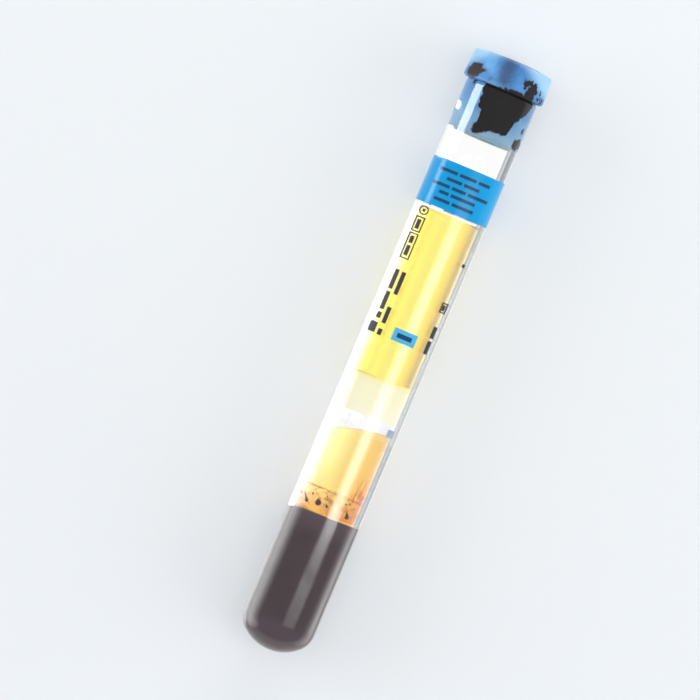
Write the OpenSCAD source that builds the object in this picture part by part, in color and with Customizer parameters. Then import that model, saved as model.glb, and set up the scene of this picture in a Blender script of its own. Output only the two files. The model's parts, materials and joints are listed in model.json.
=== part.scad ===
// Glass blood collection tube with a marbled rubber stopper, a film label and spun blood.
// All lengths are in millimetres. Heights are measured along the tube from its bottom tip.

/* [Glass tube] */
// Outside diameter of the glass
tube_d = 12.7; // [10.5:0.1:16]
// Length of the glass, from the bottom tip to the rim
tube_l = 101.5; // [84:0.5:125]
// Thickness of the glass
wall_t = 1.0; // [0.8:0.05:1.4]
// Outside radius where the barrel turns into the bottom
knuckle_r = 4.2; // [3.4:0.1:4.8]
// How much larger the radius of the bottom's flatter middle is than the barrel's
crown_extra = 1.05; // [0.5:0.05:3]

/* [Stopper] */
// Height of the head above the rim, at its middle
head_l = 5.45; // [4.4:0.05:7]
// How far the head stands out past the glass
head_lip = 0.8; // [0.5:0.05:1.5]
// How much smaller the head is at its top edge, on the radius
head_draft = 0.2; // [0:0.05:0.4]
// Rise of the domed top, from its edge to its middle
dome_rise = 0.55; // [0.3:0.05:0.9]
// Rounding of the head's top edge
top_edge_r = 0.4; // [0.2:0.05:0.8]
// Rounding of the head's lower edge
low_edge_r = 0.5; // [0.2:0.05:0.8]
// Length of the shank inside the tube
shank_l = 8.9; // [7:0.1:11]
// Rounding of the shank's lower edge
shank_edge_r = 0.6; // [0.3:0.05:1]
// Gap between the shank and the glass, on the radius
shank_gap = 0.03; // [0.02:0.01:0.08]
// Gap between the head and the rim of the glass
seat_gap = 0.1; // [0.05:0.05:0.3]
// Diameter of the needle well in the top
well_d = 5; // [4:0.1:6.2]
// Depth of the needle well, from the middle of the top
well_depth = 1.6; // [1:0.1:2.2]
// Rounding of the well's mouth
well_edge_r = 0.3; // [0.1:0.05:0.5]
// Diameter of the cavity in the shank
cavity_d = 5.4; // [4:0.1:6.5]
// Thickness of rubber that the needle goes through
septum_t = 3.4; // [2.5:0.1:4.2]

/* [Label] */
// Distance from the rim down to the label
label_drop = 14.2; // [11:0.1:18]
// Height of the label along the tube
label_h = 47.8; // [38:0.2:60]
// Thickness of the film
label_t = 0.1; // [0.06:0.01:0.14]
// Width of the bare strip left where the film's ends face each other
label_seam = 3; // [1:0.5:6]

/* [Contents] */
// Empty height between the stopper and the plasma
headspace = 14.2; // [11:0.1:18]
// Height of the red cells, from the outside tip
red_h = 24.2; // [19:0.1:30]
// Height of the gel, from the red cells to the top of its dome
gel_h = 16.5; // [13:0.1:20]
// Height of clear fluid above the gel's dome
fluid_h = 1.7; // [1:0.1:2.5]
// Height of the cell band
band_h = 6.8; // [5:0.1:9]
// Slope of the red cells' surface, in degrees
red_slope = 2; // [0:0.5:4]
// Slope of the cell band's surface, in degrees
band_slope = 2.8; // [0:0.2:4]
// Radius of the gel's domed top
gel_dome_r = 17; // [14:0.5:24]
// How far the top of that dome lies to one side
gel_dome_off = 4.4; // [0:0.1:5]

/* [Hidden] */
$fn = 96;

// Glass and bore
tube_r = tube_d / 2;
bore_r = tube_r - wall_t;
crown_r = tube_r + crown_extra;
// Height at which the round bottom becomes the straight barrel
barrel_low = crown_r - sqrt(pow(crown_r - knuckle_r, 2) - pow(tube_r - knuckle_r, 2));

// Stopper
seat_z = tube_l + seat_gap;
head_top = seat_z + head_l;
head_low_r = tube_r + head_lip;
head_top_r = head_low_r - head_draft;
shank_r = bore_r - shank_gap;
shank_low = tube_l - shank_l;
dome_r = (pow(dome_rise, 2) + pow(head_top_r, 2)) / (2 * dome_rise);
well_r = well_d / 2;
cavity_top = head_top - well_depth - septum_t;

// Label
label_top = tube_l - label_drop;
label_low = label_top - label_h;

// Levels of the contents
gel_top = red_h + gel_h;
fluid_top = gel_top + fluid_h;
band_top = fluid_top + band_h;
plasma_top = shank_low - headspace;

// Drops of red cells in the gel: angle from the front, height above the red cells, radius,
// length of the tail and the tail's lean in degrees
drops = [
    [-18.6, 2.0, 0.47, 0.7, 10],
    [-42.9, 1.7, 0.38, 1.4, -32],
    [-1.4, 1.9, 0.22, 0.4, 20],
    [42, 1.7, 0.42, 1.5, 6],
    [71, 1.3, 0.3, 0.9, 12],
];
// Share of a drop's radius that its centre lies inside the bore
drop_inset = 0.5;

// The tube lies on the knuckle of its bottom and on the lower edge of the head
span = seat_z + low_edge_r - barrel_low;
rise = (head_low_r - low_edge_r) - (tube_r - knuckle_r);
lie_angle = atan2(rise, span) - asin((knuckle_r - low_edge_r) / norm([span, rise]));
lie_z = knuckle_r + (tube_r - knuckle_r) * cos(lie_angle) - barrel_low * sin(lie_angle);
// The origin is under the middle of the whole length
well_edge_z = head_top - dome_r + sqrt(pow(dome_r, 2) - pow(well_r + well_edge_r, 2));
lie_y = -(well_edge_z * cos(lie_angle) + (well_r + well_edge_r) * sin(lie_angle)) / 2;

// Larger than anything that it cuts
big = 3 * tube_l;

// Lays the upright tube down along +Y, with its front upwards
module lay() {
    translate([0, lie_y, lie_z]) rotate([lie_angle - 90, 0, 0]) children();
}

// Half of the tube's outline: a straight side, a knuckle and a flatter crown, all tangent
module dished_half(r, knuckle, crown, top) {
    side = r - knuckle;
    drop = sqrt(pow(crown - knuckle, 2) - pow(side, 2));
    low = crown - drop;
    reach = 2 * crown / (crown - knuckle);
    intersection() {
        translate([0, -1]) square([r, top + 1]);
        union() {
            translate([0, low]) square([r, top - low]);
            translate([side, low]) circle(r = knuckle);
            intersection() {
                translate([0, crown]) circle(r = crown);
                polygon([[0, crown], [side * reach, crown - drop * reach], [0, -crown]]);
            }
        }
    }
}

module bore_space(top) {
    translate([0, 0, wall_t])
        rotate_extrude() dished_half(bore_r, knuckle_r - wall_t, crown_r - wall_t, top - wall_t);
}

// Everything below a level that rises towards +X
module below(level, slope = 0) {
    translate([0, 0, level]) rotate([0, -slope, 0]) translate([0, 0, -big / 2])
        cube(big, center = true);
}

// Everything below the gel's domed top
module below_dome() {
    translate([gel_dome_off, 0, gel_top - gel_dome_r]) {
        sphere(r = gel_dome_r);
        translate([0, 0, -big]) cylinder(r = gel_dome_r, h = big);
    }
}

module glass_tube() {
    rim = wall_t / 2;
    color([0.85, 0.93, 0.95, 0.35]) rotate_extrude() union() {
        difference() {
            dished_half(tube_r, knuckle_r, crown_r, tube_l - rim);
            translate([0, wall_t])
                dished_half(bore_r, knuckle_r - wall_t, crown_r - wall_t, tube_l);
        }
        translate([tube_r - rim, tube_l - rim]) circle(r = rim);
    }
}

// Direction out of two corner circles at which one straight line touches both
function side_normal(c1, r1, c2, r2) =
    let (d = (c2 - c1) / norm(c2 - c1), k = (r1 - r2) / norm(c2 - c1), m = sqrt(1 - k * k))
    [d.x * k + d.y * m, d.y * k - d.x * m];

// Half of the head's outline: two rounded edges, a straight side between them and a domed top
module head_half() {
    dome_z = head_top - dome_r;
    low = [head_low_r - low_edge_r, seat_z + low_edge_r];
    top_x = head_top_r - top_edge_r;
    top = [top_x, dome_z + sqrt(pow(dome_r - top_edge_r, 2) - pow(top_x, 2))];
    n = side_normal(low, low_edge_r, top, top_edge_r);
    edge = [0, dome_z] + (top - [0, dome_z]) * dome_r / (dome_r - top_edge_r);
    polygon([[0, seat_z], [low.x, seat_z], low + low_edge_r * n, top + top_edge_r * n, edge,
        [0, edge.y]]);
    translate(low) circle(r = low_edge_r);
    translate(top) circle(r = top_edge_r);
    intersection() {
        translate([0, dome_z]) circle(r = dome_r);
        translate([0, edge.y]) square([edge.x, dome_rise]);
    }
}

module shank_half() {
    translate([0, shank_low + shank_edge_r]) square([shank_r, seat_z - shank_low]);
    translate([0, shank_low]) square([shank_r - shank_edge_r, 2 * shank_edge_r]);
    translate([shank_r - shank_edge_r, shank_low + shank_edge_r]) circle(r = shank_edge_r);
}

// The well's own space, with the rounded mouth left standing
module well_half() {
    dome_z = head_top - dome_r;
    mouth_r = well_r + well_edge_r;
    mouth_z = dome_z + sqrt(pow(dome_r - well_edge_r, 2) - pow(mouth_r, 2));
    translate([0, head_top - well_depth]) square([well_r, 2 * well_depth]);
    difference() {
        translate([0, mouth_z]) square([mouth_r * dome_r / (dome_r - well_edge_r), well_depth]);
        translate([mouth_r, mouth_z]) circle(r = well_edge_r);
    }
}

module stopper() {
    color([0.33, 0.6, 0.82]) rotate_extrude() difference() {
        union() {
            head_half();
            shank_half();
        }
        well_half();
        translate([0, shank_low - 1]) square([cavity_d / 2, cavity_top - shank_low + 1]);
    }
}

module label_film() {
    seam_angle = 180 * label_seam / (PI * tube_r);
    color([0.09, 0.62, 0.86, 0.5]) rotate([0, 0, 90 + seam_angle / 2])
        rotate_extrude(angle = 360 - seam_angle)
            translate([tube_r, label_low]) square([label_t, label_h]);
}

module plasma() {
    color([1, 0.93, 0.35]) difference() {
        bore_space(plasma_top);
        below(band_top, band_slope);
    }
}

module cell_band() {
    color([0.99, 0.97, 0.8]) difference() {
        intersection() {
            bore_space(plasma_top);
            below(band_top, band_slope);
        }
        below(fluid_top);
    }
}

module density_fluid() {
    color([1, 1, 0.95]) difference() {
        bore_space(fluid_top);
        below_dome();
    }
}

// A drop with a pointed tail, pressed against the glass
module drop(angle, height, r, tail, lean) {
    reach = r + tail;
    touch = r * r / reach;
    rotate([0, 0, angle]) translate([0, -(bore_r - drop_inset * r), red_h + height])
        rotate([0, lean, 0]) {
            sphere(r = r);
            translate([0, 0, touch])
                cylinder(r1 = sqrt(r * r - touch * touch), r2 = r / 20, h = reach - touch);
        }
}

module all_drops() {
    for (d = drops) drop(d[0], d[1], d[2], d[3], d[4]);
}

module gel_barrier() {
    color([0.95, 0.83, 0.5]) difference() {
        intersection() {
            bore_space(fluid_top);
            below_dome();
        }
        below(red_h, red_slope);
        all_drops();
    }
}

module trapped_cells() {
    color([0.45, 0.12, 0.1]) intersection() {
        bore_space(gel_top);
        all_drops();
    }
}

module red_cells() {
    color([0.33, 0.26, 0.28]) intersection() {
        bore_space(gel_top);
        below(red_h, red_slope);
    }
}

lay() glass_tube();
lay() stopper();
lay() label_film();
lay() plasma();
lay() cell_band();
lay() density_fluid();
lay() gel_barrier();
lay() trapped_cells();
lay() red_cells();
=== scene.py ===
import json
import math
import bpy
from mathutils import Matrix, Vector


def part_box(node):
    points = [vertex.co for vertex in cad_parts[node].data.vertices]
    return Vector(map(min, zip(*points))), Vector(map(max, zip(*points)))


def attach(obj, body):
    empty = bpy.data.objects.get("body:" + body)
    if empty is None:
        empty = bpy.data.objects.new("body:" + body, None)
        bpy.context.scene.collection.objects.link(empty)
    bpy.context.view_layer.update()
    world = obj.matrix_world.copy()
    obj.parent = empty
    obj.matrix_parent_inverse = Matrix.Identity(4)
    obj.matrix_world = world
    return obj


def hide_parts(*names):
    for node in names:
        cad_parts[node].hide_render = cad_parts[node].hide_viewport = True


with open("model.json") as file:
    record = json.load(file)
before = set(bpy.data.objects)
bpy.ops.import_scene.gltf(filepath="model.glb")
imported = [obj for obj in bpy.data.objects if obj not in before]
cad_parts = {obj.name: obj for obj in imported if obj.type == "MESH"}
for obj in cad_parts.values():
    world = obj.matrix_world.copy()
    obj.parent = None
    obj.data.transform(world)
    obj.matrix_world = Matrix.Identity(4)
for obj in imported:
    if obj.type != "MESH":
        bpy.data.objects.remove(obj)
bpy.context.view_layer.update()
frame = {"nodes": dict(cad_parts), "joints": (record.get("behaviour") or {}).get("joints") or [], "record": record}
print("frame loaded")

mm = 0.001
scene = bpy.context.scene
nodes = frame["nodes"]

# The tube lies along the stopper's sliding axis. Pieces are made upright, with the tip of the
# bottom at the origin, the tube along +Z and its front towards -Y, and are then laid down.
axis = Vector(frame["joints"][0]["axis"]).normalized()
front = Vector((1, 0, 0)).cross(axis)
axisPoint = Vector(next(m for m in frame["record"]["mounts"] if m["name"] == "barrel")["pos_m"])
tip = axisPoint + axis * ((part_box("glass_tube")[0].y - axisPoint.y) / axis.y)
lieTurn = math.atan2(axis.z, axis.y) - math.pi / 2
layDown = Matrix.Translation(tip) @ Matrix.Rotation(lieTurn, 4, "X")


# lowest and highest point of a CAD node along the tube, in mm
def heightsOf(node):
    along = [(v.co - tip).dot(axis) / mm for v in nodes[node].data.vertices]
    return min(along), max(along)


# largest radius of a CAD node about the tube, in mm
def radiusOf(node):
    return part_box(node)[1].x / mm


tubeR = radiusOf("glass_tube")
boreR = radiusOf("plasma")
wall = tubeR - boreR
labelR = radiusOf("label_film")
rim = heightsOf("glass_tube")[1]
labelLow, labelTop = heightsOf("label_film")
plasmaTop = heightsOf("plasma")[1]
bandTop = (heightsOf("plasma")[0] + heightsOf("cell_band")[1]) / 2
fluidTop = heightsOf("density_fluid")[1]
gelTop = heightsOf("gel_barrier")[1]
redTop = (heightsOf("gel_barrier")[0] + heightsOf("red_cells")[1]) / 2
shankLow, headTop = heightsOf("stopper")
domeTop = headTop + 0.09  # where the head's dome would end if no well were cut into it


# back in object mode with nothing selected, as every new piece needs
def deselect():
    if bpy.context.mode != "OBJECT":
        bpy.ops.object.mode_set(mode="OBJECT")
    bpy.ops.object.select_all(action="DESELECT")


def activate(piece):
    deselect()
    piece.select_set(True)
    bpy.context.view_layer.objects.active = piece


# points [radius, height] on an arc, angles in degrees from the outward direction
def arc(centre, radius, start, stop, steps):
    turns = [math.radians(start + (stop - start) * k / steps) for k in range(steps + 1)]
    return [(centre[0] + radius * math.cos(t), centre[1] + radius * math.sin(t)) for t in turns]


# long straight runs get a point close to each end, so that smooth shading tilts only that
# short stretch and not the whole wall, which would bend the light
def steadied(outline, longest=2.0, close=0.05):
    points = [outline[0]]
    for (r0, z0), (r1, z1) in zip(outline, outline[1:]):
        length = math.hypot(r1 - r0, z1 - z0)
        if length > longest:
            share = close / length
            points += [(r0 + (r1 - r0) * t, z0 + (z1 - z0) * t) for t in (share, 1 - share)]
        points.append((r1, z1))
    return points


# a vertex is extruded along the outline and spun round the tube's axis; outline in mm
def revolve(name, outline, steps=144, sweep=360.0, start=0.0, steady=True):
    outline = steadied(outline) if steady else outline
    deselect()
    bpy.ops.mesh.primitive_plane_add(size=mm, location=(0, 0, 0))
    piece = bpy.context.object
    piece.name = piece.data.name = name
    bpy.ops.object.mode_set(mode="EDIT")
    bpy.ops.mesh.select_all(action="SELECT")
    bpy.ops.mesh.merge(type="CENTER")
    turn = Matrix.Rotation(math.radians(start), 3, "Z")
    bpy.ops.transform.translate(value=turn @ Vector((0, -outline[0][0] * mm, outline[0][1] * mm)))
    for (r0, z0), (r1, z1) in zip(outline, outline[1:]):
        step = turn @ Vector((0, (r0 - r1) * mm, (z1 - z0) * mm))
        bpy.ops.mesh.extrude_region_move(TRANSFORM_OT_translate={"value": step})
    bpy.ops.mesh.select_all(action="SELECT")
    bpy.ops.mesh.spin(steps=steps, angle=math.radians(sweep), center=(0, 0, 0), axis=(0, 0, 1))
    bpy.ops.mesh.select_all(action="SELECT")
    bpy.ops.mesh.remove_doubles(threshold=0.002 * mm)
    bpy.ops.mesh.normals_make_consistent(inside=False)
    bpy.ops.object.mode_set(mode="OBJECT")
    return piece


def applyAll(piece):
    activate(piece)
    for modifier in list(piece.modifiers):
        bpy.ops.object.modifier_apply(modifier=modifier.name)


# several pieces made into one
def joined(name, pieces):
    deselect()
    for piece in pieces:
        piece.select_set(True)
    bpy.context.view_layer.objects.active = whole = pieces[0]
    if len(pieces) > 1:
        bpy.ops.object.join()
    whole.name = whole.data.name = name
    return whole


# the finished piece is smoothed, laid down, given its finish and its place in the frame
def place(piece, material, body, replaced=(), smooth=40):
    applyAll(piece)
    bpy.ops.object.shade_smooth_by_angle(angle=math.radians(smooth))
    piece.data.transform(layDown @ piece.matrix_world)
    piece.matrix_world = Matrix.Identity(4)
    piece.data.materials.clear()
    piece.data.materials.append(material)
    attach(piece, body)
    if replaced:
        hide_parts(*replaced)


# a colour written in sRGB, turned to the linear values that sockets take
def paint(code):
    parts = [int(code[k:k + 2], 16) / 255 for k in (1, 3, 5)]
    return [c / 12.92 if c <= 0.04045 else ((c + 0.055) / 1.055) ** 2.4 for c in parts] + [1.0]


# adds a node with its settings; an input is a value, the socket that feeds it, or a node whose
# first socket does
def addNode(tree, kind, inputs=(), **settings):
    node = tree.nodes.new("ShaderNode" + kind)
    for name, value in settings.items():
        setattr(node, name, value)
    for name, value in dict(inputs).items():
        if isinstance(value, bpy.types.Node):
            value = value.outputs[0]
        if isinstance(value, bpy.types.NodeSocket):
            tree.links.new(value, node.inputs[name])
        else:
            node.inputs[name].default_value = value
    return node


# places (0 to 1) and colours along a colour ramp
def setStops(ramp, stops):
    points = ramp.color_ramp.elements
    points[0].position, points[0].color = stops[0][0], paint(stops[0][1])
    points[1].position, points[1].color = stops[-1][0], paint(stops[-1][1])
    for at, code in stops[1:-1]:
        points.new(at).color = paint(code)


# values are those of the shader that are the same all over the surface
def newMaterial(name, values=()):
    material = bpy.data.materials.new(name)
    material.use_nodes = True
    tree = material.node_tree
    tree.nodes.clear()
    surface = addNode(tree, "BsdfPrincipled", values)
    output = addNode(tree, "OutputMaterial", {"Surface": surface})
    return material, tree, surface, output


# object coordinates turned back to the upright tube, in mm: X right, Y back, Z up from the tip;
# a noise scale is therefore a number for each mm, and 0.25 gives patches about 4 mm across
def uprightPlace(tree):
    coords = addNode(tree, "TexCoord")
    return addNode(tree, "Mapping", {
        "Vector": coords.outputs["Object"], "Location": tip, "Rotation": (lieTurn, 0, 0),
        "Scale": (mm, mm, mm)}, vector_type="TEXTURE").outputs[0]


glass = {"crown": 7.4, "knuckle": 4.2,  # radii of the bottom's flatter middle and of its turn, mm
    "ior": 1.47, "rough": 0.0, "tint": "#FFFFFF",
    "waveLength": 9.0, "waveHeight": 0.0004,  # mm
    "waveStretch": 0.15}  # the waviness is drawn out along the tube


# outline of a dished bottom, from its middle out to the straight barrel
def dishedOutline(radius, inset=0.0, steps=14):
    knuckle, crown = glass["knuckle"] - inset, glass["crown"] - inset
    side = radius - knuckle
    drop = math.sqrt((crown - knuckle) ** 2 - side ** 2)
    meet = -math.degrees(math.atan2(drop, side))
    bottom = arc((0, glass["crown"]), crown, -90, meet, steps)
    return bottom + arc((side, glass["crown"] - drop), knuckle, meet, 0, steps)[1:]


# borosilicate glass, drawn and fire-polished: clear, very smooth, with a faint long waviness
def makeGlass():
    material, tree, surface, output = newMaterial("borosilicateGlass", {"IOR": glass["ior"],
        "Base Color": paint(glass["tint"]), "Roughness": glass["rough"], "Transmission Weight": 1.0})
    upright = uprightPlace(tree)
    stretched = addNode(tree, "Mapping", {"Vector": upright, "Scale": (1, 1, glass["waveStretch"])})
    wave = addNode(tree, "TexNoise", {"Vector": stretched,
        "Scale": 1 / glass["waveLength"], "Detail": 1.0})
    bump = addNode(tree, "Bump", {"Height": wave, "Strength": 1.0,
        "Distance": glass["waveHeight"] * mm})
    tree.links.new(bump.outputs[0], surface.inputs["Normal"])
    return material


outside = dishedOutline(tubeR)
inside = dishedOutline(boreR, wall)
rimArc = arc((tubeR - wall / 2, rim - wall / 2), wall / 2, 0, 180, 10)
glassTube = revolve("glass_tube_fine", outside + rimArc + inside[::-1], steps=160)
place(glassTube, makeGlass(), "tube", ["glass_tube"])
print("glass made")


contents = {"gap": 0.02, "intoGlass": 0.04, "overlap": 0.04,  # mm
    "meniscus": 0.45, "meniscusWidth": 1.1, "meniscusDip": 0.15,  # the plasma's raised rim, mm
    "bandSlope": 2.8, "redSlope": 2.0,  # degrees, up to the right
    "redCurl": 0.35, "redCurlWidth": 0.5,  # the red cells' edge turned down on the left, mm
    "domeRadius": 17.0, "domeAside": 4.4, "domeFlat": 0.3}  # the gel's rounded top, mm


# a filling of the bore between two surfaces, each a rule for the height at a place across it;
# outward is how far its side stands beyond the bore: below 0 it leaves a film of air
def filling(name, low, high, bottomRule=None, topRule=None, outward=0.0, rings=14):
    radius = boreR + outward
    across = [radius * k / rings for k in range(rings + 1)]
    if bottomRule is None:
        foot = dishedOutline(radius, wall - outward)
        foot.append((radius, foot[-1][1] + 0.05))
    else:
        foot = [(r, low) for r in across]
    piece = revolve(name, foot + [(r, high) for r in reversed(across)], steady=False)
    for vertex in piece.data.vertices:
        x, y, z = vertex.co / mm
        if topRule and abs(z - high) < 0.01:
            vertex.co.z = topRule(x, y) * mm
        elif bottomRule and abs(z - low) < 0.01:
            vertex.co.z = bottomRule(x, y) * mm
    return piece


def plasmaSurface(x, y):
    fromWall = boreR - min(boreR, math.hypot(x, y))
    raised = contents["meniscus"] * math.exp(-fromWall / contents["meniscusWidth"])
    return plasmaTop - contents["meniscusDip"] + raised


def bandSurface(x, y):
    return bandTop + x * math.tan(math.radians(contents["bandSlope"]))


def gelSurface(x, y):
    radius = contents["domeRadius"]
    away = (x - contents["domeAside"]) ** 2 + (contents["domeFlat"] * y) ** 2
    return gelTop - radius + math.sqrt(radius ** 2 - away)


def redSurface(x, y):
    curl = contents["redCurl"] * math.exp(-(x + boreR) / contents["redCurlWidth"])
    return redTop + x * math.tan(math.radians(contents["redSlope"])) - curl


# the same surface moved up or down, so that neighbours reach into each other a little
def moved(rule, by):
    return lambda x, y: rule(x, y) + by


def flatAt(height):
    return lambda x, y: height


# a clear liquid, coloured by what it takes out of the light and by tones painted on its skin,
# which are painted shade across the tube. look has its IOR, tones (places across the tube in mm,
# each with its colour), wave (how far these wander, in mm), sink (how much deeper they get for each
# mm further down), and absorbs and density where the liquid itself has a colour
def makeLiquid(name, look):
    material, tree, surface, output = newMaterial(name, {"Roughness": 0.0, "IOR": look["ior"],
        "Transmission Weight": 1.0})
    upright = uprightPlace(tree)
    cloud = addNode(tree, "TexNoise", {"Vector": upright, "Scale": 0.25, "Detail": 3.0})
    parts = addNode(tree, "SeparateXYZ", {0: upright})
    wavy = addNode(tree, "Math", {0: cloud, 1: look["wave"], 2: parts}, operation="MULTIPLY_ADD")
    fromTop = addNode(tree, "Math", {0: gelTop - 3, 1: parts.outputs[2]}, operation="SUBTRACT")
    sunk = addNode(tree, "Math", {0: fromTop, 1: look["sink"], 2: wavy}, operation="MULTIPLY_ADD")
    share = addNode(tree, "MapRange", {"Value": sunk,
        1: look["wave"] / 2 - boreR, 2: look["wave"] / 2 + boreR})
    tone = addNode(tree, "ValToRGB", {"Fac": share})
    setStops(tone, [((x + boreR) / (2 * boreR), code) for x, code in look["tones"]])
    tree.links.new(tone.outputs[0], surface.inputs["Base Color"])
    if "absorbs" in look:
        volume = addNode(tree, "VolumeAbsorption", {"Color": paint(look["absorbs"]),
            "Density": look["density"]})
        tree.links.new(volume.outputs[0], output.inputs["Volume"])
    return material, tree, surface, tone, parts, upright


reach, dry = contents["overlap"], -contents["gap"]

# straw-coloured blood plasma: takes blue out of the light that comes through; its tones are
# painted shade, deeper orange to the right and darkest in a grey band near the right wall
plasmaLook = {"ior": 1.35, "absorbs": "#FFFB60", "density": 243.5, "wave": 0.4, "sink": 0.0,
    "tones": [(-2.4, "#FFF3C0"), (-1.2, "#FFF5D0"), (0.3, "#FFFFFF"), (1.4, "#FFFFFF"),
        (3.0, "#FFEDA8"), (3.55, "#F9CB7D"), (4.0, "#C2966F"), (4.3, "#8C786A"),
        (4.65, "#B89A74"), (5.0, "#FFEDC0")]}
plasma = filling("plasma_fine", bandTop, plasmaTop, moved(bandSurface, -reach), plasmaSurface, dry)
place(plasma, makeLiquid("bloodPlasma", plasmaLook)[0], "tube", ["plasma"])

# sugar solution that the cells float on: as clear as water, with painted grey-blue shade
# towards the right wall
fluidLook = {"ior": 1.34, "wave": 1.0, "sink": 0.0, "tones": [(2.0, "#FFFFFF"), (5.0, "#EEF3FA")]}
fluid = filling("density_fluid_fine", fluidTop - 2, fluidTop + reach, moved(gelSurface, -reach),
    flatAt(fluidTop + reach), dry - 0.005)
place(fluid, makeLiquid("densityFluid", fluidLook)[0], "tube", ["density_fluid"])

# the gel's tones are painted shade: white on the left, deeper orange to the right
gelLook = {"ior": 1.38, "absorbs": "#FDF593", "density": 87.3, "wave": 1.0, "sink": 0.14,
    "tones": [(-3.6, "#FFFFFF"), (-1.8, "#FFF9E0"), (0.0, "#FEEBB6"), (3.0, "#FFD486"),
        (4.8, "#FFC078"), (5.3, "#F6A868")],
    "paleStain": "#F6D2A2", "darkStain": "#D09068", "line": "#B04C28", "fleck": "#B9683A",
    "streak": "#C8501E", "edge": "#FFC060",
    "stainHeights": (30.3, 25.6), "lineHeight": 29.0, "fleckHeights": (29.4, 28.8),
    "streakHeights": (26.5, 28.5, 29.6, 33.0), "highlightHeight": 0.3}  # along the tube, mm


# amber polyester gel: clear but deeply coloured, stained where the red cells passed through it
def makeGel():
    material, tree, surface, tone, parts, upright = makeLiquid("polyesterGel", gelLook)
    height = parts.outputs[2]
    stainTop, stainFoot = gelLook["stainHeights"]
    fleckTop, fleckFull = gelLook["fleckHeights"]
    streakFoot, streakFull, streakFades, streakTop = gelLook["streakHeights"]
    blotch = addNode(tree, "TexNoise", {"Vector": upright, "Scale": 0.9, "Detail": 6.0,
        "Roughness": 0.65})
    sunk = addNode(tree, "Math", {0: blotch, 1: 2.4, 2: height}, operation="MULTIPLY_ADD")
    low = addNode(tree, "MapRange", {"Value": sunk, 1: stainTop, 2: stainFoot,
        4: 0.85}, interpolation_type="SMOOTHSTEP")
    mottle = addNode(tree, "MapRange", {"Value": blotch, 1: 0.4, 2: 0.62})
    stain = addNode(tree, "Mix", {"Factor": mottle,
        6: paint(gelLook["paleStain"]), 7: paint(gelLook["darkStain"])}, data_type="RGBA")
    stained = addNode(tree, "Mix", {"Factor": low, 6: tone,
        7: stain.outputs[2]}, data_type="RGBA", blend_type="MULTIPLY")
    # a broken reddish line all round where the cells stopped
    lift = addNode(tree, "Math", {0: blotch, 1: 1.0, 2: height}, operation="MULTIPLY_ADD")
    off = addNode(tree, "Math", {0: lift, 1: gelLook["lineHeight"]}, operation="SUBTRACT")
    near = addNode(tree, "Math", {0: off}, operation="ABSOLUTE")
    line = addNode(tree, "MapRange", {"Value": near, 1: 0.02, 2: 0.22, 3: 1.0, 4: 0.0})
    fine = addNode(tree, "TexNoise", {"Vector": upright, "Scale": 1.8, "Detail": 3.0})
    broken = addNode(tree, "MapRange", {"Value": fine, 1: 0.42, 2: 0.58, 3: 0.2})
    # brown and reddish flecks below it
    spots = addNode(tree, "TexNoise", {"Vector": upright, "Scale": 1.25, "Detail": 6.0,
        "Roughness": 0.7})
    fleck = addNode(tree, "MapRange", {"Value": spots, 1: 0.52, 2: 0.62})
    under = addNode(tree, "MapRange", {"Value": lift, 1: fleckTop, 2: fleckFull, 4: 0.9})
    # thin flame-like streaks that climb from the line on the right
    drawn = addNode(tree, "Mapping", {"Vector": upright, "Scale": (1.2, 1.2, 0.32)})
    veins = addNode(tree, "TexNoise", {"Vector": drawn, "Scale": 1.0,
        "Detail": 4.0, "Distortion": 0.8})
    aside = addNode(tree, "Math", {0: veins, 1: 0.5}, operation="SUBTRACT")
    thin = addNode(tree, "Math", {0: aside}, operation="ABSOLUTE")
    streak = addNode(tree, "MapRange", {"Value": thin, 1: 0.025, 2: 0.12, 3: 1.0, 4: 0.0})
    rightOnly = addNode(tree, "MapRange", {"Value": parts, 1: 2.3, 2: 3.3})
    fades = addNode(tree, "MapRange", {"Value": height, 1: streakTop, 2: streakFades})
    starts = addNode(tree, "MapRange", {"Value": height, 1: streakFoot, 2: streakFull})
    # a painted highlight: a bright orange line where the gel meets the red cells on the right
    slope = addNode(tree, "Math", {0: parts,
        1: -math.tan(math.radians(contents["redSlope"])), 2: height}, operation="MULTIPLY_ADD")
    highlightTop = redTop + gelLook["highlightHeight"]
    edge = addNode(tree, "MapRange", {"Value": slope, 1: highlightTop + 0.1, 2: highlightTop})
    rightHalf = addNode(tree, "MapRange", {"Value": parts, 1: -1.5, 2: 2.5})
    # each mark is laid over the one before it, as strongly as its shares multiplied together
    shade = stained.outputs[2]
    for mark, shares in {"line": (line, broken), "fleck": (fleck, under),
            "streak": (rightOnly, fades, starts, streak), "edge": (edge, rightHalf)}.items():
        strength = shares[0].outputs[0]
        for share in shares[1:]:
            strength = addNode(tree, "Math", {0: strength, 1: share},
                operation="MULTIPLY").outputs[0]
        shade = addNode(tree, "Mix", {"Factor": strength, 6: shade,
            7: paint(gelLook[mark])}, data_type="RGBA").outputs[2]
    tree.links.new(shade, surface.inputs["Base Color"])
    return material


gel = filling("gel_barrier_fine", redTop, gelTop, moved(redSurface, -reach), gelSurface,
    dry + 0.005)
place(gel, makeGel(), "tube", ["gel_barrier"])


bandLook = {"rough": 0.6, "ior": 1.1, "through": 0.08,
    # from its foot, 0, to its top, 1
    "tones": [(0.0, "#FFFFFA"), (0.12, "#FFFBDC"), (0.45, "#FFFAD4"), (0.84, "#FFF8CC"),
        (0.93, "#FFF4A8"), (1.0, "#FFEE84")]}


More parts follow.
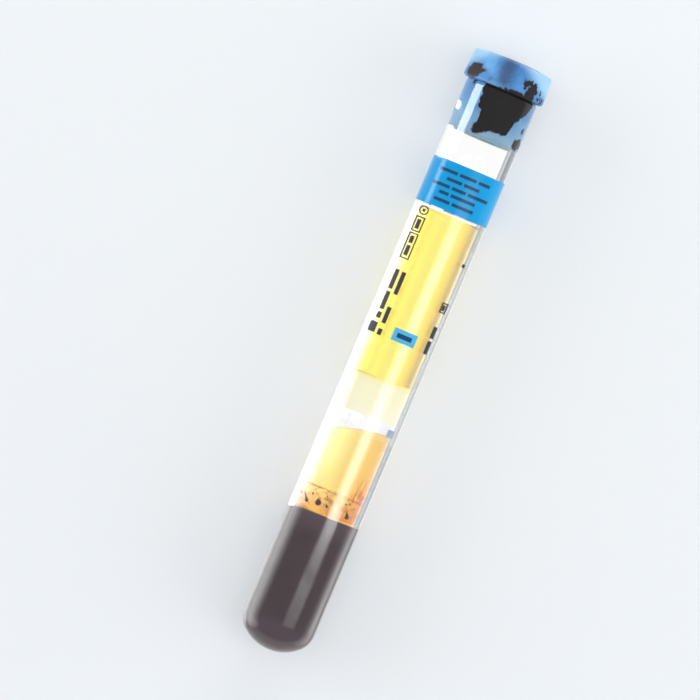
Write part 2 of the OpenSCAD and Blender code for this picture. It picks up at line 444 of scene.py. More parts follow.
# a cloudy layer of white cells and platelets that fades into the liquids above and below it
def makeBand():
    material, tree, surface, output = newMaterial("cellSuspension", {"IOR": bandLook["ior"],
        "Roughness": bandLook["rough"], "Transmission Weight": bandLook["through"]})
    upright = uprightPlace(tree)
    parts = addNode(tree, "SeparateXYZ", {0: upright})
    noise = addNode(tree, "TexNoise", {"Vector": upright, "Scale": 0.5, "Detail": 4.0})
    slope = addNode(tree, "Math", {0: parts,
        1: math.tan(math.radians(contents["bandSlope"]))}, operation="MULTIPLY")
    height = addNode(tree, "Math", {0: parts.outputs[2], 1: slope}, operation="SUBTRACT")
    wavy = addNode(tree, "Math", {0: noise, 1: 0.5, 2: height}, operation="MULTIPLY_ADD")
    share = addNode(tree, "MapRange", {"Value": wavy, 1: fluidTop, 2: bandTop + 0.25})
    ramp = addNode(tree, "ValToRGB", {"Fac": share})
    setStops(ramp, bandLook["tones"])
    tree.links.new(ramp.outputs[0], surface.inputs["Base Color"])
    return material


band = filling("cell_band_fine", fluidTop, bandTop, flatAt(fluidTop), bandSurface, dry + 0.01)
place(band, makeBand(), "tube", ["cell_band"])


# two shades that drift into each other and a paler one near the top, painted light that comes down
# from the gel above, and in the drops likewise
redLook = {"rough": 0.55, "ior": 1.1, "packedRedCells": ("#564A50", "#67585E", "#8C7C83"),
    "trappedRedCells": ("#38323C", "#4B3A40", "#4B3A40")}


# packed red cells: dense and dark, with hardly any gloss of their own inside the glass
def makeRedCells(name):
    one, other, pale = redLook[name]
    material, tree, surface, output = newMaterial(name, {"Roughness": redLook["rough"],
        "IOR": redLook["ior"]})
    upright = uprightPlace(tree)
    noise = addNode(tree, "TexNoise", {"Vector": upright, "Scale": 0.35, "Detail": 5.0})
    tone = addNode(tree, "Mix", {"Factor": noise, 6: paint(one),
        7: paint(other)}, data_type="RGBA")
    parts = addNode(tree, "SeparateXYZ", {0: upright})
    # painted light: paler towards the top, where light comes down from the gel
    high = addNode(tree, "MapRange", {"Value": parts.outputs[2], 1: redTop - 4,
        2: redTop + 0.1, 4: 0.45})
    paler = addNode(tree, "Mix", {"Factor": high, 6: tone.outputs[2],
        7: paint(pale)}, data_type="RGBA")
    tree.links.new(paler.outputs[2], surface.inputs["Base Color"])
    return material


redCells = filling("red_cells_fine", wall, redTop, None, redSurface, contents["intoGlass"])
place(redCells, makeRedCells("packedRedCells"), "tube", ["red_cells"])

# Cells caught in the gel, as drops against its side: degrees from the front, height along the
# tube, radius, how far the upper end is drawn out, lean of that end to the left in degrees
drops = [(-18.9, 26.05, 0.51, 0.3, 18), (-42.5, 25.7, 0.34, 4.6, 38), (-1.8, 26.0, 0.21, 0.9, 32),
    (41.0, 25.6, 0.41, 1.5, 26), (59.0, 29.3, 0.16, 1.2, -30), (29.0, 27.5, 0.14, 0.2, 0),
    (35.5, 27.75, 0.15, 0.2, 0), (-7.5, 27.6, 0.11, 0.9, 80), (-34.5, 27.1, 0.17, 0.5, 10),
    (-70.0, 26.9, 0.2, 1.6, 20), (68.0, 26.4, 0.3, 1.0, 8), (104.0, 26.2, 0.4, 0.9, 14),
    (139.0, 25.8, 0.3, 1.4, -20), (-112.0, 26.0, 0.35, 1.2, -12),
    (-150.0, 26.5, 0.26, 0.6, 10)]


# thickness and narrowing of the drawn end as shares, and the space to the glass in mm
dropShape = {"flat": 0.4, "narrow": 0.75, "inset": 0.1}


# a ball drawn out at its upper end, pressed flat and laid against the inside of the tube
def makeDrop(angle, height, radius, drawn, leftLean):
    flatR = dropShape["flat"] * radius
    deselect()
    bpy.ops.mesh.primitive_uv_sphere_add(segments=24, ring_count=16, radius=1.0)
    drop = bpy.context.object
    for vertex in drop.data.vertices:
        if vertex.co.z > 0:
            share = vertex.co.z
            narrow = 1 - dropShape["narrow"] * min(1, drawn) * share ** 1.3
            vertex.co.x *= narrow
            vertex.co.y *= narrow
            vertex.co.z += drawn * share ** 2
    drop.data.transform(Matrix.Rotation(math.radians(angle), 4, "Z")
        @ Matrix.Translation((0, -(boreR - dropShape["inset"] - flatR) * mm, height * mm))
        @ Matrix.Rotation(math.radians(-leftLean), 4, "Y")
        @ Matrix.Diagonal((radius * mm, flatR * mm, radius * mm, 1)))
    return drop


caught = joined("trapped_cells_fine", [makeDrop(*drop) for drop in drops])
place(caught, makeRedCells("trappedRedCells"), "tube", ["trapped_cells"])
print("contents made")


stopper = {"lip": 0.8, "draft": 0.2, "domeRise": 0.55, "topEdge": 0.4, "lowEdge": 0.5,
    "seatGap": 0.1, "collar": 0.25, "collarHeight": 0.4, "intoGlass": 0.04, "shankEdge": 0.6,
    "wellR": 2.5, "wellDepth": 1.6, "wellCorner": 0.25, "mouthEdge": 0.3,
    "cavityR": 2.7, "cavityEdge": 0.4, "septum": 3.4,  # mm
    "ior": 1.4, "gloss": 0.2, "rough": (0.4, 0.55), "grainHeight": 0.012,  # mm
    "tear": 1.5, "merge": 0.12,  # how far the black's edges are torn, and lumps run together, mm
    "blue": "#4F8CC8", "deepBlue": "#457EBB", "paleBlue": "#6FACDF", "shadeBlue": "#3C4C70",
    "black": "#292527", "brown": "#5E564C", "paintedLitBlue": "#B9E0F8",
    # the shank is paler, because a colour pressed against glass looks darker from outside it
    "shankDeep": "#70B1E8", "shankBlue": "#84C4F4", "shankPale": "#ACDEFC", "shankBlack": "#160E11",
    "thinFoot": "#CFECFF", "footShade": "#6F9298"}

# Black rubber swirled through the blue. On the shank it comes down from the head to an edge:
# place about the tube in degrees from the front, height of the edge along the tube in mm
shankEdge = [(-180, 103), (-152, 103), (-140, 99.6), (-126, 97.2), (-113, 98.8), (-103, 103),
    (-42, 103), (-33, 102.2), (-31.5, 98.0), (-29, 97.5), (-22.5, 97.0), (-20.5, 95.6),
    (-20, 93.4), (-18, 92.9), (-12, 93.3), (-3, 93.9), (6, 94.4), (16, 94.5), (25, 94.4),
    (35, 94.6), (39.5, 95.1),
    (41, 97.0), (44, 97.4), (50, 98.0), (58, 98.7), (63.5, 99.3), (67, 100.4), (73, 101.2), (82, 103),
    (108, 103), (117, 98.4), (133, 95.4), (148, 96.6), (160, 100.4), (180, 103)]
edgeLow, edgeHigh = 92.0, 103.0  # the heights between which the edge runs

# Elsewhere it lies as round lumps that run together: degrees from the front, height along the
# tube and radius in mm
headLumps = [
    (28, 104.1, 0.6), (34, 104.3, 0.55), (41, 103.8, 0.75), (46, 103.3, 0.6), (38, 103.1, 0.75),
    (36.5, 102.3, 0.85), (41.5, 102.2, 0.75), (27.5, 103.3, 0.28), (58, 103.3, 0.32),
    (57, 103.8, 0.22), (56, 102.3, 0.24), (62, 102.5, 0.3), (70, 102.3, 0.42), (66, 101.8, 0.3),
    (-51, 103.2, 1.05), (-59, 103.3, 0.85), (-46, 103.8, 0.55), (-54, 102.3, 0.9),
    (-62, 102.0, 0.7), (-42, 103.2, 0.5), (-36.5, 103.3, 0.3), (-45, 102.5, 0.5),
    (-66, 102.8, 0.6), (3, 101.8, 0.35), (11, 101.7, 0.55), (18, 101.7, 0.65), (25, 101.6, 0.6),
    (31, 101.5, 0.5), (38, 101.5, 0.65), (44, 101.5, 0.6), (-4, 101.5, 0.35), (4, 101.5, 0.45),
    (-22, 102.5, 0.16),
    (118, 104.4, 1.2), (132, 102.9, 1.4), (172, 104.9, 0.9), (186, 102.4, 1.1),
    (214, 103.8, 1.2), (238, 102.5, 0.9)]
shankLumps = [(-21.5, 94.3, 0.45), (-20, 93.6, 0.45), (67, 93.9, 0.9), (76, 94.3, 0.75),
    (84, 94.0, 0.6), (73, 96.5, 0.4), (-58, 101.2, 0.45), (-96, 95.6, 0.8), (178, 95.4, 1.1),
    (203, 96.8, 1.3)]
# on the top the second number is the distance from the middle
topLumps = [(36, 4.2, 1.0), (50, 5.0, 0.85), (66, 5.9, 0.6), (92, 5.6, 0.35), (148, 3.6, 1.0),
    (164, 4.6, 1.1), (176, 5.8, 0.7), (246, 5.6, 0.5), (258, 4.6, 0.8), (270, 3.8, 0.6),
    (312, 5.9, 0.4)]


def onSide(angle, radius, height):
    return (radius * math.sin(math.radians(angle)), -radius * math.cos(math.radians(angle)), height)


# moulded butyl rubber: satin, very finely grained, two colours swirled but hardly mixed
def makeRubber():
    material, tree, surface, output = newMaterial("butylRubber", {"IOR": stopper["ior"],
        "Specular IOR Level": stopper["gloss"]})
    upright = uprightPlace(tree)
    tear = addNode(tree, "TexNoise", {"Vector": upright, "Scale": 1.3, "Detail": 6.0,
        "Roughness": 0.68})
    middleOfNoise = addNode(tree, "VectorMath", {0: tear.outputs["Color"],
        1: (0.5, 0.5, 0.5)}, operation="SUBTRACT")
    pushed = addNode(tree, "VectorMath", {0: middleOfNoise,
        1: [stopper["tear"]] * 3, 2: upright}, operation="MULTIPLY_ADD")
    parts = addNode(tree, "SeparateXYZ", {0: pushed})
    forward = addNode(tree, "Math", {0: parts.outputs[1], 1: -1.0}, operation="MULTIPLY")
    angle = addNode(tree, "Math", {0: parts, 1: forward}, operation="ARCTAN2")
    turn = addNode(tree, "MapRange", {"Value": angle, 1: -math.pi, 2: math.pi})
    edge = addNode(tree, "FloatCurve", {"Value": turn})
    curve = edge.mapping.curves[0]
    # where the black ends on the shank, on a curve from 0 to 1 both ways
    spots = [((a + 180) / 360, (h - edgeLow) / (edgeHigh - edgeLow)) for a, h in shankEdge]
    curve.points[0].location, curve.points[1].location = spots[0], spots[-1]
    for spot in spots[1:-1]:
        curve.points.new(*spot)
    for point in curve.points:
        point.handle_type = "VECTOR"
    edge.mapping.update()
    edgeAt = addNode(tree, "MapRange", {"Value": edge, 3: edgeLow, 4: edgeHigh})
    below = addNode(tree, "Math", {0: edgeAt, 1: parts.outputs[2]}, operation="SUBTRACT")
    straight = addNode(tree, "SeparateXYZ", {0: upright})
    aboveSeat = addNode(tree, "Math", {0: straight.outputs[2],
        1: rim + stopper["seatGap"] + 0.05}, operation="SUBTRACT")
    nearest = addNode(tree, "Math", {0: below, 1: aboveSeat}, operation="MAXIMUM")
    # the black comes down to that edge, and each lump adds to it
    headR, shankR = tubeR + stopper["lip"], boreR + stopper["intoGlass"]
    lumps = [(onSide(a, headR, h), r) for a, h, r in headLumps]
    lumps += [(onSide(a, shankR, h), r) for a, h, r in shankLumps]
    lumps += [(onSide(a, r0, headTop - 0.1), r) for a, r0, r in topLumps]
    for centre, radius in lumps:
        far = addNode(tree, "VectorMath", {0: pushed, 1: centre}, operation="DISTANCE")
        depth = addNode(tree, "Math", {0: far.outputs["Value"], 1: radius}, operation="SUBTRACT")
        nearest = addNode(tree, "Math", {0: nearest, 1: depth, 2: stopper["merge"]},
            operation="SMOOTH_MIN")
    # below 0 it is black, and a brownish fringe surrounds it
    black = addNode(tree, "MapRange", {"Value": nearest, 1: 0.06, 2: -0.05},
        interpolation_type="SMOOTHSTEP")
    fringe = addNode(tree, "MapRange", {"Value": nearest, 1: 0.28, 2: 0.0},
        interpolation_type="SMOOTHSTEP")
    cloud = addNode(tree, "TexNoise", {"Vector": upright, "Scale": 0.22, "Detail": 3.0})
    fine = addNode(tree, "TexNoise", {"Vector": upright, "Scale": 2.5, "Detail": 4.0})
    blues = addNode(tree, "ValToRGB", {"Fac": cloud})
    setStops(blues, [(0.36, stopper["deepBlue"]), (0.52, stopper["blue"]),
        (0.68, stopper["paleBlue"])])
    # painted shade: the middle of the head is darker, mixed towards a dark blue
    offMiddle = addNode(tree, "Math", {0: parts, 1: 0.5}, operation="ADD")
    fromMiddle = addNode(tree, "Math", {0: offMiddle}, operation="ABSOLUTE")
    middleShade = addNode(tree, "MapRange", {"Value": fromMiddle, 1: 0.2, 2: 2.6,
        3: 0.85, 4: 0.0}, interpolation_type="SMOOTHSTEP")
    onHead = addNode(tree, "MapRange", {"Value": straight.outputs[2], 1: rim, 2: rim + 1.2})
    middleShadeShare = addNode(tree, "Math", {0: middleShade, 1: onHead}, operation="MULTIPLY")
    middleShaded = addNode(tree, "Mix", {"Factor": middleShadeShare,
        6: blues, 7: paint(stopper["shadeBlue"])}, data_type="RGBA")
    shankBlues = addNode(tree, "ValToRGB", {"Fac": cloud})
    setStops(shankBlues, [(0.36, stopper["shankDeep"]), (0.52, stopper["shankBlue"]),
        (0.68, stopper["shankPale"])])
    # its hollow foot is thin, so some light comes through
    foot = addNode(tree, "MapRange", {"Value": straight.outputs[2], 1: shankLow + 5.5,
        2: shankLow + 0.8, 4: 0.5}, interpolation_type="SMOOTHSTEP")
    footed = addNode(tree, "Mix", {"Factor": foot, 6: shankBlues,
        7: paint(stopper["thinFoot"])}, data_type="RGBA")
    # painted shade: darker round the rounded foot of the shank
    rounded = addNode(tree, "MapRange", {"Value": straight.outputs[2],
        1: shankLow + 0.6, 2: shankLow + 0.3, 4: 0.7})
    footShaded = addNode(tree, "Mix", {"Factor": rounded, 6: footed.outputs[2],
        7: paint(stopper["footShade"])}, data_type="RGBA")
    inTube = addNode(tree, "MapRange", {"Value": straight.outputs[2], 1: rim, 2: rim - 0.3})
    # painted light: the head is paler towards its sides, where the side lights fall, and a painted
    # highlight runs along its upper edge
    rise = addNode(tree, "MapRange", {"Value": straight.outputs[2], 1: headTop - 6,
        2: headTop, 3: -2.0, 4: 0.0})
    lightSpread = addNode(tree, "Math", {0: fromMiddle, 1: 0.25, 2: rise}, operation="MULTIPLY_ADD")
    paintedLightShare = addNode(tree, "MapRange", {"Value": lightSpread, 1: 0.1, 2: 1.05, 4: 0.6},
        interpolation_type="SMOOTHSTEP")
    paintedLitBlue = addNode(tree, "Mix", {"Factor": paintedLightShare, 6: middleShaded.outputs[2],
        7: paint(stopper["paintedLitBlue"])}, data_type="RGBA")
    blueHere = addNode(tree, "Mix", {"Factor": inTube, 6: paintedLitBlue.outputs[2],
        7: footShaded.outputs[2]}, data_type="RGBA")
    blackHere = addNode(tree, "Mix", {"Factor": inTube,
        6: paint(stopper["black"]), 7: paint(stopper["shankBlack"])}, data_type="RGBA")
    smear = addNode(tree, "Math", {0: fringe, 1: fine}, operation="MULTIPLY")
    fringed = addNode(tree, "Mix", {"Factor": smear, 6: blueHere.outputs[2],
        7: paint(stopper["brown"])}, data_type="RGBA")
    tone = addNode(tree, "Mix", {"Factor": black, 6: fringed.outputs[2],
        7: blackHere.outputs[2]}, data_type="RGBA")
    grain = addNode(tree, "TexNoise", {"Vector": upright, "Scale": 6.0, "Detail": 2.0})
    bump = addNode(tree, "Bump", {"Height": grain, "Strength": 0.5,
        "Distance": stopper["grainHeight"] * mm})
    smoothest, roughest = stopper["rough"]
    rough = addNode(tree, "MapRange", {"Value": fine, 3: smoothest, 4: roughest})
    tree.links.new(tone.outputs[2], surface.inputs["Base Color"])
    tree.links.new(rough.outputs[0], surface.inputs["Roughness"])
    tree.links.new(bump.outputs[0], surface.inputs["Normal"])
    return material


# outline of the stopper from the middle of its top, over the head and down the shank
def stopperOutline():
    s = stopper
    lowR = tubeR + s["lip"]
    topR = lowR - s["draft"]
    dome = (s["domeRise"] ** 2 + topR ** 2) / (2 * s["domeRise"])
    domeZ = domeTop - dome
    mouth = s["wellR"] + s["mouthEdge"]
    mouthZ = domeZ + math.sqrt((dome - s["mouthEdge"]) ** 2 - mouth ** 2)
    edge = topR - s["topEdge"]
    edgeZ = domeZ + math.sqrt((dome - s["topEdge"]) ** 2 - edge ** 2)
    seat = rim + s["seatGap"]
    shankR = boreR + s["intoGlass"]
    domeAt = [math.degrees(math.asin(r / dome)) for r in (mouth, topR)]
    lean = math.degrees(math.atan2(s["draft"], domeTop - seat))
    floorZ = domeTop - s["wellDepth"]
    floorR = s["wellR"] - s["wellCorner"]
    points = [(0, floorZ), (floorR, floorZ)]
    points += arc((floorR, floorZ + s["wellCorner"]), s["wellCorner"], -90, 0, 5)[1:]
    points += arc((mouth, mouthZ), s["mouthEdge"], 180, 90 - domeAt[0], 8)
    points += arc((0, domeZ), dome, 90 - domeAt[0], 90 - domeAt[1] * edge / topR, 10)[1:]
    points += arc((edge, edgeZ), s["topEdge"], 90 - domeAt[1] * edge / topR, lean, 8)[1:]
    points += arc((lowR - s["lowEdge"], seat + s["lowEdge"]), s["lowEdge"], lean, -90, 10)
    collarR = shankR + s["collar"]
    points += [(collarR, seat)] + arc((collarR, seat - 0.05), 0.05, 90, 180, 3)[1:]
    points += [(shankR, seat - s["collarHeight"])]
    points += arc((shankR - s["shankEdge"], shankLow + s["shankEdge"]), s["shankEdge"], 0, -90, 8)
    cavityTop = floorZ - s["septum"]
    bend = s["cavityEdge"]
    points += [(s["cavityR"], shankLow), (s["cavityR"], cavityTop - bend)]
    points += arc((s["cavityR"] - bend, cavityTop - bend), bend, 0, 90, 5)[1:]
    return points + [(0, cavityTop)]


stopperPiece = revolve("stopper_fine", stopperOutline(), steps=160)
place(stopperPiece, makeRubber(), "closure", ["stopper"], smooth=50)
print("stopper made")


label = {"seam": 3.0, "bandHeight": 8.0, "gap": 0.03, "ink": 0.02, "inkLift": 0.005,
    "barHeight": 0.56, "frameLine": 0.21, "ringLine": 0.2, "patchStep": 0.15,  # mm
    "filmHaze": 0.05, "filmRough": 0.2}

# two shades of each ink, its roughness and its IOR; the band and its bars are varnished
inks = {"blueInk": ("#0C96D2", "#0A91CC", 0.1, 1.33), "navyInk": ("#1D4265", "#234B70", 0.1, 1.33),
    "darkInk": ("#33363C", "#3C3F46", 0.5, 1.15), "blueFlagInk": ("#4FA9D6", "#57AFDA", 0.5, 1.15),
    "navyFlagInk": ("#1D4265", "#234B70", 0.5, 1.15),
    "greyBlueInk": ("#8C93B0", "#A0A8C0", 0.5, 1.15)}


# clear polypropylene film: nearly invisible, with a slight haze and a soft gloss
def makeFilm():
    material, tree, surface, output = newMaterial("clearPolypropylene", {
        "Roughness": label["filmRough"], "Alpha": label["filmHaze"]})
    haze = addNode(tree, "TexNoise", {"Vector": uprightPlace(tree), "Scale": 0.4, "Detail": 2.0})
    tone = addNode(tree, "Mix", {"Factor": haze, 6: paint("#FFFFFF"),
        7: paint("#F6FBFF")}, data_type="RGBA")
    tree.links.new(tone.outputs[2], surface.inputs["Base Color"])
    return material


# printed ink: flat colour with a little unevenness, satin, or glossy where it is varnished
def makeInk(name):
    main, other, rough, ior = inks[name]
    material, tree, surface, output = newMaterial(name, {"Roughness": rough, "IOR": ior})
    spots = addNode(tree, "TexNoise", {"Vector": uprightPlace(tree), "Scale": 1.6, "Detail": 3.0})
    tone = addNode(tree, "Mix", {"Factor": spots, 6: paint(main),
        7: paint(other)}, data_type="RGBA")
    tree.links.new(tone.outputs[2], surface.inputs["Base Color"])
    return material


seamAngle = math.degrees(label["seam"] / tubeR)


# a thin sleeve round the front, open along the back by the label's seam
def sleeve(name, inner, outer, low, high, steps=150):
    outline = [(inner, low), (outer, low), (outer, high), (inner, high), (inner, low)]
    piece = revolve(name, outline, steps, 360 - seamAngle, 180 + seamAngle / 2)
    activate(piece)
    bpy.ops.object.mode_set(mode="EDIT")
    bpy.ops.mesh.select_all(action="SELECT")
    bpy.ops.mesh.remove_doubles(threshold=0.002 * mm)
    bpy.ops.mesh.select_all(action="DESELECT")
    bpy.ops.mesh.select_non_manifold()
    bpy.ops.mesh.fill()
    bpy.ops.mesh.select_all(action="SELECT")
    bpy.ops.mesh.normals_make_consistent(inside=False)
    bpy.ops.object.mode_set(mode="OBJECT")
    return piece


film = sleeve("label_film_fine", tubeR + label["gap"], labelR, labelLow, labelTop)
place(film, makeFilm(), "tube", ["label_film"])
inkLow, inkHigh = labelR + label["inkLift"], labelR + label["ink"]  # radii
bandLow = labelTop - label["bandHeight"]
bandPiece = sleeve("label_band", inkLow, inkHigh, bandLow, labelTop)
place(bandPiece, makeInk("blueInk"), "tube")

inFront = -20 * mm  # flat shapes are made here, clear of the tube


# a flat shape on a fine grid, laid over the label and given the thickness of ink
def addPatch(x0, x1, z0, z1):
    deselect()
    across = max(2, round((x1 - x0) / label["patchStep"]))
    bpy.ops.mesh.primitive_grid_add(x_subdivisions=across, y_subdivisions=2, size=2)
    patch = bpy.context.object
    half = ((x1 - x0) / 2 * mm, (z1 - z0) / 2 * mm)
    patch.data.transform(Matrix.Translation(((x0 + x1) / 2 * mm, inFront, (z0 + z1) / 2 * mm))
        @ Matrix.Rotation(math.pi / 2, 4, "X") @ Matrix.Diagonal((half[0], half[1], 1, 1)))
    return patch


def addFrame(x0, x1, z0, z1):
    line = label["frameLine"]
    return [addPatch(x0, x1, z0, z0 + line), addPatch(x0, x1, z1 - line, z1),
        addPatch(x0, x0 + line, z0 + line, z1 - line), addPatch(x1 - line, x1, z0 + line, z1 - line)]


def addRing(x, z, outer):
    deselect()
    bpy.ops.mesh.primitive_circle_add(vertices=32, radius=outer * mm, fill_type="NGON",
        location=(0, 0, 0))
    ring = bpy.context.object
    bpy.ops.object.mode_set(mode="EDIT")
    bpy.ops.mesh.select_all(action="SELECT")
    bpy.ops.mesh.inset(thickness=label["ringLine"] * mm)
    bpy.ops.mesh.delete(type="FACE")
    bpy.ops.object.mode_set(mode="OBJECT")
    ring.data.transform(Matrix.Translation((x * mm, inFront, z * mm))
        @ Matrix.Rotation(math.pi / 2, 4, "X"))
    return ring


# joins flat shapes and drops them straight back on to the tube
def printOn(name, shapes, radius):
    piece = joined(name, shapes)
    for vertex in piece.data.vertices:
        vertex.co.y = -math.sqrt((radius * mm) ** 2 - vertex.co.x ** 2)
    solid = piece.modifiers.new("ink", "SOLIDIFY")
    solid.thickness, solid.offset = label["ink"] * mm, 1.0
    return piece


# Plain bars stand where the print is. Dark bars on the blue band, five short lines of them:
# height along the tube, then the bars' ends across it, in mm
bandLines = [(85.65, (-4.6, -1.5), (-1.1, 1.9), (2.3, 4.3)), (84.35, (-2.9, -0.2), (0.2, 2.9)),
    (83.1, (-4.9, -1.9), (-1.5, 1.0), (1.4, 4.9)), (81.9, (-3.3, -1.6), (-1.2, 3.1)),
    (80.6, (-3.7, -0.9), (-0.5, 3.3))]

# Bars that run along the tube, and the rest: left and right end across it, lower and upper end
# along it
columns = [(-4.92, -4.22, 63.7, 67.2), (-4.92, -4.22, 60.0, 63.2), (-4.92, -4.22, 58.4, 59.5),
    (-3.72, -3.0, 63.1, 67.1), (-3.72, -3.0, 57.9, 60.8), (-3.72, -3.0, 55.8, 56.9),
    (-4.75, -4.1, 74.6, 76.3), (-4.75, -4.1, 69.8, 71.6), (-4.75, -4.1, 72.0, 73.3),
    (4.72, 5.35, 58.6, 60.7), (4.72, 5.35, 55.8, 58.1), (4.75, 5.2, 63.6, 64.6)]
frames = [(-5.2, -3.6, 74.1, 76.8), (-5.2, -3.58, 69.2, 73.85), (4.5, 5.55, 63.2, 65.0)]
marks = [(-5.4, -4.2, 55.9, 57.7), (5.1, 5.55, 71.6, 72.2)]
ring = (-4.38, 77.95, 0.8)  # middle and radius
ringMark = (-4.6, -4.16, 77.7, 78.2)
flag, flagBar = (-1.18, 2.9, 55.9, 58.1), (-0.45, 2.15, 56.6, 57.4)
square = (4.4, 5.45, 40.6, 41.9)

bars = [addPatch(a, b, z - label["barHeight"] / 2, z + label["barHeight"] / 2)
    for z, *ends in bandLines for a, b in ends]
place(printOn("print_bars", bars, inkHigh), makeInk("navyInk"), "tube")

shapes = [addPatch(*box) for box in columns + marks]
for box in frames:
    shapes += addFrame(*box)
shapes += [addRing(*ring), addPatch(*ringMark)]
place(printOn("print_marks", shapes, inkLow), makeInk("darkInk"), "tube")

for name, box, radius, ink in (("print_flag", flag, inkLow, "blueFlagInk"),
        ("print_flag_bar", flagBar, inkHigh, "navyFlagInk"),
        ("print_square", square, inkLow, "greyBlueInk")):
    place(printOn(name, [addPatch(*box)], radius), makeInk(ink), "tube")
print("label made")


studio = {"floor": "#E9EDF0", "speckle": "#E6EAEE", "sky": "#FBFCFD", "edgeStrip": "#8F999F",
    "shadowShare": 0.6,  # how much of the floor's brightness is real light and shadow
    "worldLight": 0.5, "worldGloss": 0.45, "strip": (0.36, 0.62),  # m to the right and up
    "distance": 1.6, "across": 117.4,  # the camera's distance, m, and what it takes in, mm
    "lean": 22.8, "aside": -6.73, "along": -1.92}  # degrees, and mm off the object's middle
middle = tip + axis * domeTop / 2 * mm


# pale painted board: soft shadow for the eye, plain and bright where glass shows it
def makeFloor():
    material, tree, surface, output = newMaterial("paintedBoard")
    tree.nodes.remove(surface)
    rays = addNode(tree, "LightPath")
    speckle = addNode(tree, "TexNoise", {"Scale": 60.0, "Detail": 2.0})
    tone = addNode(tree, "Mix", {"Factor": speckle,
        6: paint(studio["floor"]), 7: paint(studio["speckle"])}, data_type="RGBA")
    diffuse = addNode(tree, "BsdfDiffuse", {"Color": tone.outputs[2]})
    bent = addNode(tree, "Math", {0: rays.outputs["Is Glossy Ray"],
        1: rays.outputs["Is Transmission Ray"]}, operation="MAXIMUM")
    shade = addNode(tree, "Mix", {"Factor": bent, 6: paint(studio["floor"]),
        7: paint("#FFFFFF")}, data_type="RGBA")
    glow = addNode(tree, "Emission", {"Color": shade.outputs[2], "Strength": 1.0})
    seen = addNode(tree, "Math", {0: rays.outputs["Is Camera Ray"],
        1: 1 - studio["shadowShare"]}, operation="MULTIPLY")
    share = addNode(tree, "Math", {0: seen, 1: bent}, operation="MAXIMUM")
    mixed = addNode(tree, "MixShader", {0: share, 1: diffuse, 2: glow})
    tree.links.new(mixed.outputs[0], output.inputs["Surface"])
    return material


# grey card of one even brightness
def makeGreyCard():
    material, tree, surface, output = newMaterial("greyCard")
    tree.nodes.remove(surface)
    grey = addNode(tree, "Emission", {"Color": paint(studio["edgeStrip"]), "Strength": 1.0})
    tree.links.new(grey.outputs[0], output.inputs["Surface"])
    return material


def addPlane(name, size, at, material):
    deselect()
    bpy.ops.mesh.primitive_plane_add(size=1.0, location=(0, 0, 0))
    plane = bpy.context.object
    plane.name = name
    plane.data.transform(Matrix.Translation(at) @ Matrix.Diagonal((size[0], size[1], 1, 1)))
    plane.data.materials.append(material)
    return plane


addPlane("floor", (6.0, 6.0), (0, 0, 0), makeFloor())
# a strip on the floor that only the glass shows, so that its right edge reads on the pale board
strip = addPlane("edge_flag", (10 * mm, 0.11), (11.8 * mm, middle.y, 0.2 * mm), makeGreyCard())
strip.visible_camera = strip.visible_diffuse = strip.visible_glossy = strip.visible_shadow = False

world = bpy.data.worlds.new("studio")
scene.world = world
world.use_nodes = True
tree = world.node_tree
tree.nodes.clear()
rays = addNode(tree, "LightPath")
bright = addNode(tree, "Math", {0: rays.outputs["Is Camera Ray"],
    1: rays.outputs["Is Transmission Ray"]}, operation="MAXIMUM")
plain = addNode(tree, "MapRange", {"Value": rays.outputs["Is Glossy Ray"],
    3: studio["worldLight"], 4: studio["worldGloss"]})
strength = addNode(tree, "Math", {0: plain, 1: bright}, operation="MAXIMUM")
sky = addNode(tree, "Background", {"Color": paint(studio["sky"]), "Strength": strength})
addNode(tree, "OutputWorld", {"Surface": sky})


# a rectangular soft light turned towards a point; level is its brightness, white = 1
def softbox(name, at, target, width, length, level, seenBy="diffuse glossy transmission"):
    light = bpy.data.lights.new(name, "AREA")
    light.shape = "RECTANGLE"
    light.size, light.size_y = width, length
    light.energy = level * math.pi * width * length
    lamp = bpy.data.objects.new(name, light)
    scene.collection.objects.link(lamp)
    away = (Vector(at) - Vector(target)).normalized()
    side = Vector((0, 1, 0)).cross(away).normalized()
    turn = Matrix((side, away.cross(side), away)).transposed().to_4x4()
    lamp.matrix_world = Matrix.Translation(Vector(at)) @ turn
    lamp.visible_camera = False
    lamp.visible_diffuse = "diffuse" in seenBy
    lamp.visible_glossy = "glossy" in seenBy
    lamp.visible_transmission = "transmission" in seenBy


# diffusers laid one behind the other, each smaller, so that the light fades towards its edges
def fadingBox(name, at, target, width, length, level, seenBy, layers=5, least=0.35, shorten=0.3):
    away = (Vector(at) - Vector(target)).normalized()
    for k in range(layers):
        share = 1 - (1 - least) * k / (layers - 1)
        softbox(name + str(k), Vector(at) + away * 0.4 * mm * k, target, width * share,
            length - shorten * length * k / (layers - 1), level / layers, seenBy)


# the place in the room beside a height on the tube
def beside(height):
    return middle.y + (height - headTop / 2) * mm


# where the strip light hangs; nearer than 1 puts another light in front of it
def stripAt(y, nearer=1.0):
    return (studio["strip"][0] * nearer, y, studio["strip"][1] * nearer)


# a low card close by, which only the gloss of the tube shows: its place to the right and up, its
# width and its two ends along the tube, all in mm
def card(name, x, z, width, low, high, level, layers=5, shorten=0.3):
    y = beside((low + high) / 2)
    fadingBox(name, (x * mm, y, z * mm), (0, y, z * mm), width * mm, (high - low) * mm, level,
        "glossy", layers, 0.35, shorten)


# big lights on both sides keep the round sides as bright as the middle
for side in (-1, 1):
    softbox("sideLight", (0.8 * side, 0, 0.27), (0, 0, 0), 0.6, 0.9, 2.6, "diffuse")
softbox("overhead", (0, 0, 1.2), (0, 0, 0), 1.0, 1.0, 0.8, "diffuse")
# the long highlight to the right of the middle
stripY = -0.0135
fadingBox("strip", stripAt(stripY), (0, stripY, 0), 0.62, 0.123, 4.4,
    "diffuse glossy transmission", 9, 0.25, 0.4)
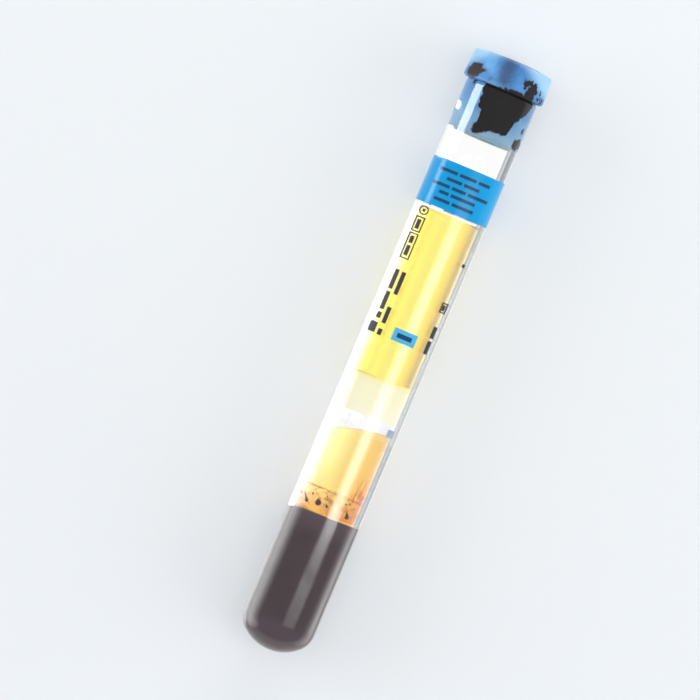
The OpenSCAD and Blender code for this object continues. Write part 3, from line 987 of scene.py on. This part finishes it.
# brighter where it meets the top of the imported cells
for k, length in enumerate((16, 12, 9, 7, 5.5)):
    y = (-43 - length / 2) * mm
    softbox("stripLow" + str(k), stripAt(y, 1 - 0.004 * (k + 1)), (0, y, 0), 0.45, length * mm,
        0.85, "glossy")
# and fainter where it runs on round the bottom
softbox("stripTail", stripAt(-0.106, 0.97), (0, -0.106, 0), 0.45, 0.088, 1.2, "glossy")
# cards along both sides, brighter beside the upper part; they end below the stopper, which has
# its own narrow one
card("cardLeft", -16, 7.6, 17, -12, bandLow, 4.4, 5, 0.2)
card("cardLeftHigh", -18.5, 8, 16, 24, bandLow, 4.5, 5, 0.2)
card("cardLeftBand", -16, 12.2, 6, bandLow, labelTop, 8.0, 4, 0.0)
card("cardLeftTop", -16, 7.6, 17, labelTop, shankLow, 6.0, 5, 0.0)
card("cardRight", 14, 4.2, 10, -8, bandLow, 2.4, 4)
y, z = beside(95.5), 15.2 * mm
softbox("cardStopper", (-16 * mm, y, z), (0, y, z), 8 * mm, 13 * mm, 13.0, "glossy")
# cards that lie on the floor facing up: the glow of the left side's very edge, and a glint
# beside the foot of the shank
for name, x, along, width, length, level in (("cardLeftLow", -14.5, 38.5, 5, 81, 2.6),
        ("cardLeftLower", -10.5, 38.5, 3, 81, 1.5), ("glint", -17, 96.9, 13, 1.4, 6.0)):
    softbox(name, (x * mm, beside(along), 0.3 * mm), (x * mm, beside(along), 5 * mm), width * mm,
        length * mm, level, "glossy")
# a light beyond the stopper that catches the edge of its head
softbox("endLight", (0, 0.6, 0.22), (0, 0, 0), 0.5, 0.16, 6.0, "diffuse")
softbox("endGloss", (0, 0.6, 0.3), (0, 0, 0), 0.6, 0.2, 16.0, "glossy")

camera = bpy.data.objects.new("camera", bpy.data.cameras.new("camera"))
scene.collection.objects.link(camera)
camera.data.lens = camera.data.sensor_width * studio["distance"] / (studio["across"] * mm)
lean = math.radians(studio["lean"])
right = Vector((1, 0, 0)) * math.cos(lean) + axis * math.sin(lean)
up = front.cross(right)
eye = middle + Vector((studio["aside"], 0, 0)) * mm + axis * studio["along"] * mm
turn = Matrix((right, up, front)).transposed().to_4x4()
camera.matrix_world = Matrix.Translation(eye + front * studio["distance"]) @ turn
scene.camera = camera

scene.view_settings.view_transform = "Standard"
scene.cycles.blur_glossy = 0.0  # keeps the light that reaches the contents through the glass whole
scene.cycles.max_bounces = 24
scene.cycles.transmission_bounces = 24
scene.cycles.transparent_max_bounces = 32
print("studio made")
